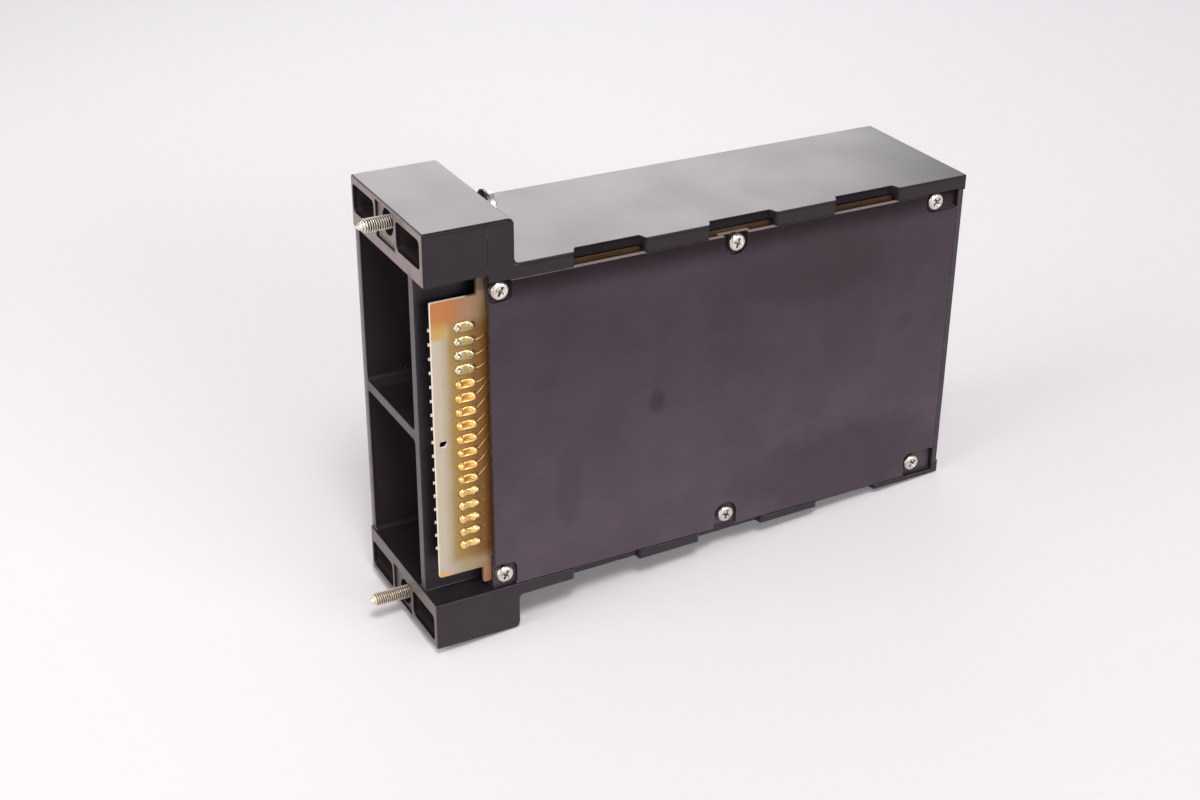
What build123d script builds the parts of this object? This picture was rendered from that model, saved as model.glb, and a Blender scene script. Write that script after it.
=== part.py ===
from build123d import *
import os
from math import cos, pi, sin

# Plug-in input/output module. The plane X = 0 is the mounting plane at the rear,
# the module runs forward along +X, the side cover faces -Y and +Z is up. The
# origin is on the mounting plane, midway between the two mounting screws.

# ---- driving dimensions, millimetres -------------------------------------
HALF_WIDTH = 30.0          # body and mounting blocks, each side of Y = 0
BLOCK_DEPTH = 31.8         # mounting block, along X
BLOCK_OUTER = 77.0         # outer face of a mounting block, above or below Z = 0
BLOCK_INNER = 59.1         # inner face of a mounting block
BLOCK_RADIUS = 0.8         # rounding of a block's outer edges
BLOCK_FRONT_RADIUS = 2.2   # rounding of its outer edge toward the body
ROOT_RADIUS = 1.6          # concave rounding where a block meets the body
BODY_END = 210.8           # front ends of the top, bottom and far walls
BODY_TOP_REAR, BODY_TOP_FRONT = 61.4, 61.0
BODY_BOTTOM_REAR, BODY_BOTTOM_FRONT = -63.9, -60.7
EDGE_RADIUS = 0.5          # rounding of the body's long edges
FRONT_RADIUS = 1.0         # rounding of the walls' front corners
FAR_WALL = 3.5
CAVITY_TOP, CAVITY_BOTTOM = 57.9, -58.2
REAR_SETBACK = 0.8         # rear edges of shelf, partition and far wall

# Rear bays, between the blocks
BULKHEAD = (30.0, 33.0)
PARTITION_NEAR, PARTITION_FAR = -19.3, -15.8
SHELF_HALF = 1.8
BAY_CORNER = 1.6

# Side cover
COVER_X = (22.6, 207.4)
COVER_Z = (-58.6, 55.95)
COVER_THICKNESS = 2.0
COVER_GAP = 0.45           # gap round the cover in its opening
SCREW_X = (26.1, 114.6, 197.5)
SCREW_TOP_Z, SCREW_BOTTOM_Z = 53.15, -53.4
SCREW_MAJOR = 3.5          # number 6 machine screw
SCREW_LENGTH = 9.5
HEAD_RADIUS = 3.15
HEAD_HEIGHT = 2.9
POCKET_REACH = 4.7         # screw pocket, from the screw to its rim along X
POCKET_RISE = 4.2          # the same, along Z
POCKET_BACK = 3.6          # the same, rearward of the two front screws
BOSS_HALF = 4.0
INSERT_RADIUS, INSERT_LENGTH = 2.5, 6.0

# Vent windows in the rims of the top and bottom walls
WINDOW_START = 52.8
WINDOW_PITCH = 50.85
WINDOW_WIDTH = 26.9
WINDOW_DEPTH = 3.4
WINDOW_COUNT = 3
RUN_IN = 1.8               # slant of a window's rear end
TOP_RUN_OUT, BOTTOM_RUN_OUT = 1.0, 0.6
WINDOW_EASE = 0.5          # small flat where a window meets the near face

# Front panel
PANEL_X = (207.6, 209.6)
PANEL_Z = (-55.9, 55.6)
PANEL_LEDGE = 3.0
LENS_Y = (-13.0, -3.0)
LENS_HALF_LENGTH = 50.0

# Main board and its contact tongue
BOARD_NEAR, BOARD_FAR = -26.2, -25.0
BOARD_X = (19.7, 204.0)
BOARD_Z = (-57.0, 57.3)
TONGUE_X = 3.6
TONGUE_Z = (-50.7, 51.6)
TOOLING_HOLE = (6.6, 0.4, 1.45)

# Edge contacts
CONTACT_COUNT = 17
CONTACT_PITCH = 5.08
CONTACT_MIDDLE = 1.3
CONTACT_TIP, CONTACT_INNER_TIP = 3.0, 6.5
CONTACT_WIDTH = 1.1
CONTACT_LEG = 0.8
LEG_X = (12.6, 17.4)
LEG_HOLE_RADIUS = 0.62
CONNECTOR_X = (6.2, 20.0)
CONNECTOR_END_WALL = 2.0

# Captive mounting screws, number 10 with 32 threads to the inch
MOUNT_Z = 70.6
MOUNT_MAJOR = 4.826
MOUNT_LENGTH = 45.3        # under the head to the tip
MOUNT_THREAD = 15.0        # threaded end, point included
MOUNT_NECK = 2.0           # radius of the plain neck between thread and ring
MOUNT_SHANK = 2.25         # radius of the plain shank from the ring to the head
MOUNT_HEAD_RADIUS, MOUNT_HEAD_HEIGHT = 4.0, 2.5
MOUNT_BORE, MOUNT_THROAT = 4.6, 2.7
MOUNT_SHOULDER = 22.0      # where the bore narrows to its throat
WASHER_RADIUS, WASHER_THICKNESS = 5.1, 0.9
SEAT_GAP = 0.05
RING_RADIUS, RING_THICKNESS = 4.2, 0.8
RING_GROOVE_RADIUS = 1.95
RING_SETBACK = 20.8        # from under the head to the retaining ring
TOP_SCREW_BACK = 2.7       # the upper screw rests this far back from its seat

# Core pockets and recess in the rear face of a mounting block
POCKET_Z = (64.3, 74.4)
POCKET_FAR_Y, POCKET_NEAR_Y = (9.6, 28.4), (-28.0, -8.9)
POCKET_DEPTH = 22.0
RECESS_Y, RECESS_Z = (-7.6, 8.2), (62.9, 75.9)
RECESS_DEPTH = 1.0

# Circuit on the back of the board: eight channels, one row each
CHANNELS = 8
CHANNEL_PITCH = 12.6
CHANNEL_MIDDLE = 0.6
CLEAR = 0.05


# ---- small helpers --------------------------------------------------------
def block(x, y, z):
    """Box between the low and high value given for each axis."""
    middle = [(low + high) / 2 for low, high in (x, y, z)]
    size = [high - low for low, high in (x, y, z)]
    return Pos(*middle) * Box(*size)


def rod_x(x, y, z, radius):
    """Cylinder along X between the two values in x."""
    low, high = x
    return Pos((low + high) / 2, y, z) * Rot(0, 90, 0) * Cylinder(radius, high - low)


def rod_y(x, y, z, radius):
    """Cylinder along Y between the two values in y."""
    low, high = y
    return Pos(x, (low + high) / 2, z) * Rot(90, 0, 0) * Cylinder(radius, high - low)


def rod_z(x, y, z, radius):
    """Cylinder along Z between the two values in z."""
    low, high = z
    return Pos(x, y, (low + high) / 2) * Cylinder(radius, high - low)


def side_prism(points, y):
    """Solid with the given XZ outline, between the two values in y."""
    low, high = y
    face = Plane.XZ * make_face(Polyline(*points, close=True))
    return Pos(0, high, 0) * extrude(face, high - low)


def plan_prism(points, z):
    """Solid with the given XY outline, between the two values in z."""
    low, high = z
    face = make_face(Polyline(*points, close=True))
    return Pos(0, 0, low) * extrude(face, high - low)


def mirrored(z_pair, sign):
    """The same height range above (sign 1) or below (sign -1) the middle plane."""
    return tuple(sorted(sign * value for value in z_pair))


def separate(solids):
    """One node of solids that stay separate."""
    return Compound(children=[solid for shape in solids for solid in shape.solids()])


def channel_heights():
    """Height of each channel's row on the board."""
    offsets = [index - (CHANNELS - 1) / 2 for index in range(CHANNELS)]
    return [CHANNEL_MIDDLE + CHANNEL_PITCH * offset for offset in offsets]


def contact_heights():
    """Height of each edge contact."""
    offsets = [index - (CONTACT_COUNT - 1) / 2 for index in range(CONTACT_COUNT)]
    return [CONTACT_MIDDLE + CONTACT_PITCH * offset for offset in offsets]


def cover_screw_places():
    """X and Z of the six cover screws, the upper row first."""
    return [(x, z) for z in (SCREW_TOP_Z, SCREW_BOTTOM_Z) for x in SCREW_X]


# ---- housing ----------------------------------------------------------------
def mounting_block(sign):
    """Solid block with its outer edges rounded."""
    x = (0, BLOCK_DEPTH)
    y = (-HALF_WIDTH, HALF_WIDTH)
    shape = block(x, y, mirrored((BLOCK_INNER, BLOCK_OUTER), sign))
    outer_face = shape.faces().sort_by(Axis.Z)[-1 if sign > 0 else 0]
    toward_body = outer_face.edges().filter_by(Axis.Y).sort_by(Axis.X)[-1]
    shape = fillet(toward_body, BLOCK_FRONT_RADIUS)
    rims = [
        edge
        for side in shape.faces().filter_by(Axis.Y)
        for edge in side.edges()
        if abs(edge.center().Z) > BLOCK_INNER + 0.1
    ]
    rear_corner = [
        edge
        for edge in shape.edges().filter_by(Axis.Y)
        if abs(edge.center().X) < 0.01 and abs(edge.center().Z) > BLOCK_OUTER - 0.01
    ]
    return fillet(rims + rear_corner, BLOCK_RADIUS)


def body_blank():
    """The body before it is hollowed: its top and bottom taper to the front."""
    outline = [
        (REAR_SETBACK, BODY_BOTTOM_REAR),
        (BLOCK_DEPTH, BODY_BOTTOM_REAR),
        (BODY_END, BODY_BOTTOM_FRONT),
        (BODY_END, BODY_TOP_FRONT),
        (BLOCK_DEPTH, BODY_TOP_REAR),
        (REAR_SETBACK, BODY_TOP_REAR),
    ]
    blank = side_prism(outline, (-HALF_WIDTH, HALF_WIDTH))
    front_corners = blank.edges().filter_by(Axis.Z).group_by(Axis.X)[-1]
    blank = fillet(front_corners, FRONT_RADIUS)
    long_edges = [
        edge
        for edge in blank.edges()
        if edge.bounding_box().size.X > BODY_END / 2
    ]
    return fillet(long_edges, EDGE_RADIUS)


def rear_bay(sign):
    """Blind bay between the far wall and the partition, with rounded corners."""
    x = (-1, BULKHEAD[0])
    y = (PARTITION_FAR, HALF_WIDTH - FAR_WALL)
    bay = block(x, y, mirrored((SHELF_HALF, BLOCK_INNER), sign))
    return fillet(bay.edges().filter_by(Axis.X), BAY_CORNER)


def hollows():
    """Everything cut out between the walls."""
    reach = HALF_WIDTH + 1
    far_inside = HALF_WIDTH - FAR_WALL
    open_z = (COVER_Z[0] - COVER_GAP, COVER_Z[1] + COVER_GAP)
    cavity_z = (CAVITY_BOTTOM, CAVITY_TOP)
    ledge_z = (PANEL_Z[0] + PANEL_LEDGE, PANEL_Z[1] - PANEL_LEDGE)
    panel_z = (PANEL_Z[0] - CLEAR, PANEL_Z[1] + CLEAR)
    cover_back = -HALF_WIDTH + COVER_THICKNESS
    cavity_end = PANEL_X[0] - 2.4
    cover_x = (COVER_X[0] - COVER_GAP, COVER_X[1] + 0.2)
    return [
        rear_bay(1),
        rear_bay(-1),
        block((-1, COVER_X[0]), (-reach, PARTITION_NEAR), (-BLOCK_INNER, BLOCK_INNER)),
        block((0, BULKHEAD[1] + 1), (cover_back, PARTITION_NEAR), cavity_z),
        block((BULKHEAD[1], cavity_end), (cover_back, far_inside), cavity_z),
        block(cover_x, (-reach, cover_back), open_z),
        block((cavity_end - 1, BODY_END), (-reach, far_inside - PANEL_LEDGE), ledge_z),
        block((PANEL_X[0], BODY_END + 1), (-reach, far_inside), panel_z),
        block((cavity_end - 1, PANEL_X[0]), (cover_back, BOARD_NEAR + 0.2), cavity_z),
    ]


def vent_window(index, sign):
    """Notch through the near rim with slanted ends and eased corners."""
    start = WINDOW_START + WINDOW_PITCH * index
    end = start + WINDOW_WIDTH
    run_out = TOP_RUN_OUT if sign > 0 else BOTTOM_RUN_OUT
    near, back = -HALF_WIDTH, -HALF_WIDTH + WINDOW_DEPTH
    outline = [
        (start - WINDOW_EASE, near - 1),
        (start - WINDOW_EASE, near),
        (start + 0.2, near + WINDOW_EASE),
        (start + RUN_IN, back),
        (end - run_out, back),
        (end - 0.2, near + WINDOW_EASE),
        (end + WINDOW_EASE, near),
        (end + WINDOW_EASE, near - 1),
    ]
    notch = plan_prism(outline, mirrored((BLOCK_INNER - 4, BLOCK_OUTER), sign))
    return fillet(notch.edges().filter_by(Axis.Z).group_by(Axis.Y)[-1], 0.7)


def block_root(sign):
    """Concave rounding where a block's front face meets the body."""
    level = BODY_TOP_REAR if sign > 0 else BODY_BOTTOM_REAR
    crest = level + sign * ROOT_RADIUS
    front = BLOCK_DEPTH + ROOT_RADIUS
    y = (-HALF_WIDTH + EDGE_RADIUS, HALF_WIDTH - EDGE_RADIUS)
    span = tuple(sorted((level - sign * 0.5, crest)))
    filler = block((BLOCK_DEPTH - 0.5, front), y, span)
    return filler - rod_y(front, (y[0] - 1, y[1] + 1), crest, ROOT_RADIUS)


def core_pocket(y, sign):
    """Deep core pocket with rounded corners in a block's rear face."""
    pocket = block((-1, POCKET_DEPTH), y, mirrored(POCKET_Z, sign))
    return fillet(pocket.edges().filter_by(Axis.X), 1.8)


def screw_bore(sign):
    """Stepped bore of a captive screw, with the recess round its mouth."""
    z = sign * MOUNT_Z
    return [
        block((-1, RECESS_DEPTH), RECESS_Y, mirrored(RECESS_Z, sign)),
        rod_x((-1, MOUNT_SHOULDER), 0, z, MOUNT_BORE),
        rod_x((0, BLOCK_DEPTH + 1), 0, z, MOUNT_THROAT),
    ]


def mould_line(sign):
    """Fine groove up a block's near face, in line with the cover's rear edge."""
    x = (COVER_X[0] - 0.45, COVER_X[0] - 0.2)
    y = (-HALF_WIDTH - 1, -HALF_WIDTH + 0.2)
    return block(x, y, mirrored((BLOCK_INNER - 1, BLOCK_OUTER + 1), sign))


def boss(x, z):
    """Boss for a cover screw, joined to the wall beside it."""
    low, high = (z - BOSS_HALF, CAVITY_TOP + 1) if z > 0 else (CAVITY_BOTTOM - 1, z + BOSS_HALF)
    depth = (BOARD_FAR, PARTITION_FAR)
    return block((x - BOSS_HALF, x + BOSS_HALF), depth, (low, high))


def insert_hole(x, z):
    """Blind hole for a threaded insert and the screw beyond it."""
    insert = rod_y(x, (BOARD_FAR - 1, BOARD_FAR + INSERT_LENGTH), z, INSERT_RADIUS)
    beyond = rod_y(x, (BOARD_FAR, BOARD_FAR + INSERT_LENGTH + 1.5), z, SCREW_MAJOR / 2 + 0.1)
    return insert + beyond


def ejector_mark():
    """Shallow oval left by an ejector pin inside the far wall."""
    inner = HALF_WIDTH - FAR_WALL
    disc = rod_y(13.8, (inner - 1, inner + 0.2), 4.4, 1.5)
    return disc - rod_y(13.8, (inner - 1, inner + 1), 4.4, 0.9)


def make_housing():
    """Moulded housing: body, mounting blocks, bays, rims and screw bosses."""
    shape = body_blank() + mounting_block(1) + mounting_block(-1)
    shape = shape + block_root(1) + block_root(-1)
    shape = shape - hollows()
    shape = shape + [boss(x, z) for x, z in cover_screw_places()]
    shape = shape - [insert_hole(x, z) for x, z in cover_screw_places()]
    for sign in (1, -1):
        shape = shape - [vent_window(index, sign) for index in range(WINDOW_COUNT)]
        shape = shape - [core_pocket(y, sign) for y in (POCKET_FAR_Y, POCKET_NEAR_Y)]
        shape = shape - screw_bore(sign)
        shape = shape - mould_line(sign)
    return shape - ejector_mark()


# ---- cover and front ----------------------------------------------------------
def corner_pocket(x, z):
    """Pocket for a corner screw, open to the cover's two nearest edges."""
    x_low = COVER_X[0] - 1 if x < SCREW_X[1] else x - POCKET_BACK
    x_high = x + POCKET_REACH if x < SCREW_X[1] else COVER_X[1] + 1
    z_low = z - POCKET_RISE if z > 0 else COVER_Z[0] - 1
    z_high = COVER_Z[1] + 1 if z > 0 else z + POCKET_RISE
    return (x_low, x_high), (z_low, z_high)


def pocket_cutter(x, z):
    """The hollow of a screw pocket, through the cover's plate."""
    y = (-HALF_WIDTH - 1, -HALF_WIDTH + COVER_THICKNESS)
    if x == SCREW_X[1]:
        edge = (z, COVER_Z[1] + 1) if z > 0 else (COVER_Z[0] - 1, z)
        straight = block((x - POCKET_REACH, x + POCKET_REACH), y, edge)
        return rod_y(x, y, z, POCKET_REACH) + straight
    x_range, z_range = corner_pocket(x, z)
    cutter = block(x_range, y, z_range)
    return fillet(cutter.edges().filter_by(Axis.Y), 2.6)


def cover_ear(x, z):
    """Thick ear behind a screw pocket, which carries the screw's head."""
    y = (-HALF_WIDTH + COVER_THICKNESS, BOARD_NEAR)
    reach = POCKET_REACH + 1.4
    front = COVER_X[1] if x == SCREW_X[2] else x + reach
    x_range = (max(x - reach, COVER_X[0]), front)
    z_range = (z - reach, COVER_Z[1]) if z > 0 else (CAVITY_BOTTOM + 0.1, z + reach)
    return block(x_range, y, z_range)


def make_cover():
    """Flat side cover with six screw pockets."""
    y = (-HALF_WIDTH, -HALF_WIDTH + COVER_THICKNESS)
    plate = block(COVER_X, y, COVER_Z)
    for x, z in cover_screw_places():
        plate = plate - pocket_cutter(x, z)
    for x, z in cover_screw_places():
        plate = plate + cover_ear(x, z)
    holes = [rod_y(x, (-HALF_WIDTH, BOARD_NEAR + 1), z, 1.95) for x, z in cover_screw_places()]
    return plate - holes


def cross_recess():
    """Tapered cross recess, sunk from Y = 0 along +Y."""
    rim, foot, depth, web = 1.85, 0.65, 1.7, 0.42
    outline = [(-rim, -0.1), (rim, -0.1), (foot, depth), (-foot, depth)]
    wing = plan_prism(outline, (-web, web))
    return wing + Rot(0, 90, 0) * wing


def cover_screw(x, z):
    """Pan head screw with a cross recess, seated in its pocket."""
    seat = -HALF_WIDTH + COVER_THICKNESS
    shank = rod_y(x, (seat, seat + SCREW_LENGTH), z, SCREW_MAJOR / 2)
    head = rod_y(x, (seat - HEAD_HEIGHT, seat), z, HEAD_RADIUS)
    crown = head.edges().sort_by(Axis.Y)[0]
    head = fillet(crown, 1.1)
    place = Pos(x, seat - HEAD_HEIGHT, z) * Rot(0, 8 * x, 0)
    return head + shank - place * cross_recess()


def threaded_insert(x, z):
    """Brass insert moulded into a boss."""
    y = (BOARD_FAR, BOARD_FAR + INSERT_LENGTH)
    tube = rod_y(x, y, z, INSERT_RADIUS)
    return tube - rod_y(x, (y[0] - 1, y[1] + 1), z, SCREW_MAJOR / 2 + 0.02)


def make_front_panel():
    """Flat front panel, let in between the ends of the walls."""
    y = (-HALF_WIDTH, HALF_WIDTH - FAR_WALL - CLEAR)
    plate = block(PANEL_X, y, PANEL_Z)
    slot_x = (PANEL_X[0] - 1, PANEL_X[1] + 1)
    slot = block(slot_x, LENS_Y, (-LENS_HALF_LENGTH, LENS_HALF_LENGTH))
    return plate - slot


def make_lens():
    """Indicator lens: a bar in the panel's slot with a flange behind it."""
    y = (LENS_Y[0] + CLEAR, LENS_Y[1] - CLEAR)
    half = LENS_HALF_LENGTH - CLEAR
    bar = block((PANEL_X[0], PANEL_X[1] - 0.4), y, (-half, half))
    flange = block(
        (PANEL_X[0] - 1.2, PANEL_X[0]),
        (LENS_Y[0] - 1.5, LENS_Y[1] + 1.5),
        (-LENS_HALF_LENGTH - 1.5, LENS_HALF_LENGTH + 1.5),
    )
    return bar + flange


# ---- board and connector --------------------------------------------------------
def make_board():
    """Main board with its narrower contact tongue at the rear."""
    outline = [
        (TONGUE_X, TONGUE_Z[0]),
        (BOARD_X[0], TONGUE_Z[0]),
        (BOARD_X[0], BOARD_Z[0]),
        (BOARD_X[1], BOARD_Z[0]),
        (BOARD_X[1], BOARD_Z[1]),
        (BOARD_X[0], BOARD_Z[1]),
        (BOARD_X[0], TONGUE_Z[1]),
        (TONGUE_X, TONGUE_Z[1]),
    ]
    plate = side_prism(outline, (BOARD_NEAR, BOARD_FAR))
    corners = [
        edge
        for edge in plate.edges().filter_by(Axis.Y)
        if edge.center().X < BOARD_X[0] + 1
    ]
    plate = fillet(corners, 0.5)
    through = (BOARD_NEAR - 1, BOARD_FAR + 1)
    x, z, radius = TOOLING_HOLE
    holes = [rod_y(x, through, z, radius)]
    holes += [rod_y(x, through, z, 2.0) for x, z in cover_screw_places()]
    for z in contact_heights():
        holes += [rod_y(x, through, z, LEG_HOLE_RADIUS) for x in LEG_X]
    return plate - holes


def edge_contact(z):
    """Receptacle contact: two leaves joined at the closed end, and two legs."""
    near, far = BOARD_FAR + CLEAR, PARTITION_NEAR - 1.9
    leaf = 0.45
    flare = 0.5
    closed = LEG_X[1] + 1.5
    outline = [
        (CONTACT_TIP, near),
        (closed, near),
        (closed, far),
        (CONTACT_INNER_TIP + 1.5, far),
        (CONTACT_INNER_TIP, far + flare),
        (CONTACT_INNER_TIP, far + flare - leaf),
        (CONTACT_INNER_TIP + 1.5, far - leaf),
        (closed - leaf, far - leaf),
        (closed - leaf, near + leaf),
        (CONTACT_TIP, near + leaf),
    ]
    half = CONTACT_WIDTH / 2
    shape = plan_prism(outline, (z - half, z + half))
    leg = CONTACT_LEG / 2
    for x in LEG_X:
        shape = shape + block((x - leg, x + leg), (BOARD_NEAR - 0.9, near + leaf), (z - leg, z + leg))
    return shape


def solder_joint(x, z):
    """Solder cone round one leg, on the near face of the board."""
    height = 0.8
    cone = Pos(x, BOARD_NEAR - height / 2, z) * Rot(90, 0, 0) * Cone(1.35, 0.75, height)
    return cone - rod_y(x, (BOARD_NEAR - 2, BOARD_NEAR + 1), z, 0.58)


def make_connector_housing():
    """Slot behind the tongue, open to the rear, with a cell for each contact's root."""
    heights = contact_heights()
    half = CONTACT_PITCH / 2
    slot_z = (heights[0] - half, heights[-1] + half)
    shell_z = (slot_z[0] - CONNECTOR_END_WALL, slot_z[1] + CONNECTOR_END_WALL)
    inner = PARTITION_NEAR - 1.2
    shell = block(CONNECTOR_X, (BOARD_FAR, PARTITION_NEAR - 0.2), shell_z)
    slot = block((CONNECTOR_X[0] - 1, LEG_X[0] - 1.2), (BOARD_FAR - 1, inner), slot_z)
    root_x = (LEG_X[0] - 1.3, LEG_X[1] + 1.7)
    root_half = CONTACT_WIDTH / 2 + 0.1
    roots = [
        block(root_x, (BOARD_FAR - 1, inner), (z - root_half, z + root_half))
        for z in heights
    ]
    return shell - slot - roots


# ---- captive mounting screws ------------------------------------------------------
def captive_screw(sign, back, point):
    """Long screw with a slotted head, a ring groove and a cone point."""
    z = sign * MOUNT_Z
    seat = BLOCK_DEPTH + SEAT_GAP + WASHER_THICKNESS + back
    tip = seat - MOUNT_LENGTH
    radius = MOUNT_MAJOR / 2
    neck_x = (tip + MOUNT_THREAD, seat - RING_SETBACK)
    thread = rod_x((tip + point, neck_x[0]), 0, z, radius)
    neck = rod_x(neck_x, 0, z, MOUNT_NECK)
    shoulder = rod_x((neck_x[1], seat), 0, z, MOUNT_SHANK)
    cone = Pos(tip + point / 2, 0, z) * Rot(0, -90, 0) * Cone(radius, 0.5, point)
    head = rod_x((seat, seat + MOUNT_HEAD_HEIGHT), 0, z, MOUNT_HEAD_RADIUS)
    head = chamfer(head.edges().sort_by(Axis.X)[-1], 0.5)
    slot_x = (seat + MOUNT_HEAD_HEIGHT - 1.2, seat + MOUNT_HEAD_HEIGHT + 1)
    slot = block(slot_x, (-6, 6), (z - 0.6, z + 0.6))
    ring = seat - RING_SETBACK
    groove_x = (ring - CLEAR, ring + RING_THICKNESS + CLEAR)
    groove = rod_x(groove_x, 0, z, radius + 1) - rod_x(groove_x, 0, z, RING_GROOVE_RADIUS)
    return thread + cone + neck + shoulder + head - slot - groove


def lock_washer(sign, back):
    """Split lock washer under a captive screw's head."""
    z = sign * MOUNT_Z
    start = BLOCK_DEPTH + SEAT_GAP / 2 + back
    x = (start, start + WASHER_THICKNESS)
    ring = rod_x(x, 0, z, WASHER_RADIUS) - rod_x(x, 0, z, MOUNT_SHANK + 0.08)
    split = block(x, (-0.3, 0.3), (z, z + WASHER_RADIUS + 1))
    return ring - split


def retaining_ring(sign, back):
    """Snap ring in the screw's groove, open on one side."""
    z = sign * MOUNT_Z
    start = BLOCK_DEPTH + SEAT_GAP + WASHER_THICKNESS + back - RING_SETBACK
    x = (start, start + RING_THICKNESS)
    ring = rod_x(x, 0, z, RING_RADIUS) - rod_x(x, 0, z, RING_GROOVE_RADIUS + 0.02)
    mouth = block(x, (-1.2, 1.2), (z - RING_RADIUS - 1, z))
    return ring - mouth


# ---- circuit on the back of the board -----------------------------------------------
def on_board(x, height, z):
    """Box that stands on the back face of the board."""
    return block(x, (BOARD_FAR, BOARD_FAR + height), z)


def chip(x, z, length, pins):
    """Dual in-line package with its legs, on the board."""
    low = BOARD_FAR + 1.0
    body = block((x - 3.2, x + 3.2), (low, low + 3.4), (z - length / 2, z + length / 2))
    body = chamfer(body.edges().filter_by(Axis.Z).group_by(Axis.Y)[-1], 0.5)
    notch = rod_y(x, (low + 3.0, low + 4.0), z + length / 2, 0.9)
    legs = []
    for index in range(pins // 2):
        offset = z + 2.54 * (index - (pins / 2 - 1) / 2)
        for side in (-1, 1):
            inner, outer = x + side * 3.2, x + side * 3.8
            legs.append(
                block(
                    tuple(sorted((inner, outer))),
                    (BOARD_FAR, low + 2.0),
                    (offset - 0.5, offset + 0.5),
                )
            )
    return body - notch + legs


def resistor(x, z, radius, length):
    """Axial resistor lying along X, with its bent leads."""
    y = BOARD_FAR + radius + 1.5
    body = rod_x((x - length / 2, x + length / 2), y, z, radius)
    body = fillet(body.edges(), radius * 0.3)
    for side in (-1, 1):
        end = x + side * (length / 2 + 2.0)
        start = x + side * (length / 2 - 1.0)
        body = body + rod_x(tuple(sorted((start, end))), y, z, 0.4)
        body = body + rod_y(end, (BOARD_FAR, y), z, 0.4)
    return body


def film_capacitor(x, z):
    """Box capacitor with rounded upper edges."""
    box = on_board((x - 9.0, x + 9.0), 13.0, (z - 3.6, z + 3.6))
    return fillet(box.edges().group_by(Axis.Y)[-1], 0.8)


def varistor(x, z):
    """Coated disc on two leads."""
    middle = BOARD_FAR + 8.5
    disc = Pos(x, middle, z) * Rot(0, 90, 0) * Cylinder(5.6, 3.6)
    disc = fillet(disc.edges(), 1.2)
    leads = [rod_y(x, (BOARD_FAR, middle), z + side * 2.5, 0.4) for side in (-1, 1)]
    return disc + leads


HEAT_SINK_X = (146.0, 148.5)
HEAT_SINK_TOP = 14.0


def make_heat_sink():
    """Aluminium angle: a foot on the board and an upright plate."""
    z = (-52.0, 52.0)
    foot = on_board((HEAT_SINK_X[0] - 12.0, HEAT_SINK_X[1]), 2.5, z)
    plate = block(HEAT_SINK_X, (BOARD_FAR, HEAT_SINK_TOP), z)
    shape = foot + plate
    holes = [rod_x((140, 150), BOARD_FAR + 24, height, 1.5) for height in channel_heights()]
    holes += [rod_y(138.5, (BOARD_FAR - 1, BOARD_FAR + 4), height, 1.6) for height in (-46, 0, 46)]
    return shape - holes


def heat_sink_rivet(z):
    """Rivet that holds the heat sink's foot on the board."""
    stem = rod_y(138.5, (BOARD_FAR, BOARD_FAR + 2.5), z, 1.55)
    return stem + rod_y(138.5, (BOARD_FAR + 2.5, BOARD_FAR + 3.7), z, 3.0)


def triac(z):
    """Power package: tab against the heat sink, body and three legs."""
    face = HEAT_SINK_X[1]
    foot = BOARD_FAR + 8.0
    tab = block((face, face + 1.3), (foot, foot + 18.5), (z - 5, z + 5))
    hole = rod_x((face - 1, face + 3), BOARD_FAR + 24, z, 1.8)
    body = block((face, face + 4.5), (foot, foot + 9.0), (z - 5, z + 5))
    shape = tab - hole + body
    for side in (-1, 0, 1):
        middle = z + 2.54 * side
        shape = shape + block((face + 2, face + 2.7), (BOARD_FAR, foot), (middle - 0.4, middle + 0.4))
    return shape


def triac_screw(z):
    """Pan head screw with its nut, through tab and heat sink."""
    y = BOARD_FAR + 24
    face = HEAT_SINK_X[1] + 1.3
    stem = rod_x((HEAT_SINK_X[0] - 3.5, face), y, z, 1.45)
    head = rod_x((face, face + 2.2), y, z, 2.8)
    nut = Pos(HEAT_SINK_X[0] - 1.2, y, z) * Rot(0, 90, 0) * extrude(RegularPolygon(3.0, 6), 1.2)
    return stem + head + nut


FUSE_X = (164.0, 184.0)
FUSE_Y = BOARD_FAR + 6.5
FUSE_RADIUS = 2.6


def fuse_clip(x, z):
    """Spring clip: a foot and two arms that grip a fuse's end cap."""
    half = 1.6
    arm = FUSE_RADIUS + 0.6
    shape = on_board((x - half, x + half), 1.0, (z - arm, z + arm))
    for side in (-1, 1):
        z_pair = tuple(sorted((z + side * (FUSE_RADIUS + 0.12), z + side * arm)))
        shape = shape + block((x - half, x + half), (BOARD_FAR, FUSE_Y + 2.0), z_pair)
    return shape


def fuse_cap(end, z):
    """Metal end cap of a fuse."""
    low, high = (FUSE_X[0], FUSE_X[0] + 5) if end == 0 else (FUSE_X[1] - 5, FUSE_X[1])
    cup = rod_x((low, high), FUSE_Y, z, FUSE_RADIUS)
    bore = (low + 0.5, high + 1) if end == 0 else (low - 1, high - 0.5)
    return cup - rod_x(bore, FUSE_Y, z, FUSE_RADIUS - 0.3)


def fuse_tube(z):
    """Glass tube between the two caps of a fuse."""
    radius = FUSE_RADIUS - 0.32
    x = (FUSE_X[0] + 0.55, FUSE_X[1] - 0.55)
    return rod_x(x, FUSE_Y, z, radius) - rod_x(x, FUSE_Y, z, radius - 0.6)


def filter_capacitor(z):
    """Electrolytic can that stands on the board, with its rolled groove."""
    can = rod_y(48.0, (BOARD_FAR, BOARD_FAR + 26), z, 8.0)
    can = fillet(can.edges(), 0.8)
    groove_y = (BOARD_FAR + 3.0, BOARD_FAR + 4.2)
    return can - (rod_y(48.0, groove_y, z, 9.0) - rod_y(48.0, groove_y, z, 7.4))


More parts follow.
